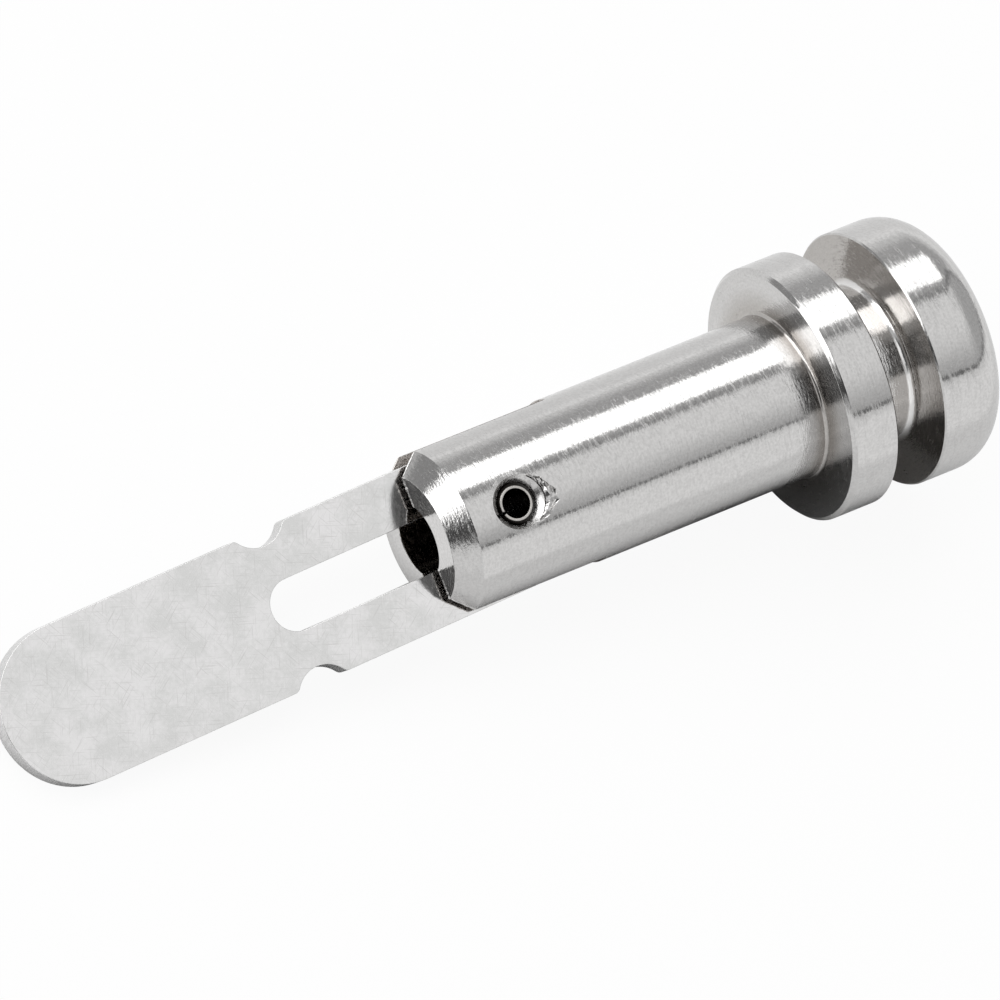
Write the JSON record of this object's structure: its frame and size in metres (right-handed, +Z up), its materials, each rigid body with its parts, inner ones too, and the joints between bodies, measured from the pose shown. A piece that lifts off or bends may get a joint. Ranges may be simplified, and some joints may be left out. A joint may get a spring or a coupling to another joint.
{
  "type": "drop nose pin",
  "caption": "Turned stainless locking pin with a domed head, a grooved neck and a flange; a flat notched blade in its slotted nose swings across to lock it.",
  "frame": {"origin": "on the surface that the pin lies on, under the middle of its bounding box", "axes": "+X towards the domed head, +Y across the pin, +Z up; the pin lies on its nose and on the flange's rim, so its axis rises towards the head by 6.7 degrees, and it has rolled by 13 degrees about that axis, onto the blade's -Y edge"},
  "size_m": [0.0526, 0.0124, 0.0132],
  "materials": {
    "turned_stainless": "turned and polished",
    "stainless_strip": "tumbled cold rolled strip",
    "spring_steel": "bright rolled",
    "ball_steel": "polished"
  },
  "bodies": {
    "pin_body": {"pin_body": "turned_stainless", "roll_pin": "spring_steel", "detent_spring": "spring_steel"},
    "drop_nose": {"drop_nose": "stainless_strip"},
    "detent_ball": {"detent_ball": "ball_steel"}
  },
  "joints": [
    {"name": "nose_swing", "type": "hinge", "parent": "pin_body", "child": "drop_nose", "pos_m": [-0.00004, 0, 0.00427], "axis": [-0.1137, -0.2248, 0.9677], "range_deg": [-92, 88]},
    {"name": "detent_press", "type": "slide", "parent": "pin_body", "child": "detent_ball", "axis": [0.9932, 0, 0.1167], "range_m": [0, 0.003], "stiffness_N_per_m": 1400, "springref_m": -0.001, "deforming": ["detent_spring"]}
  ]
}
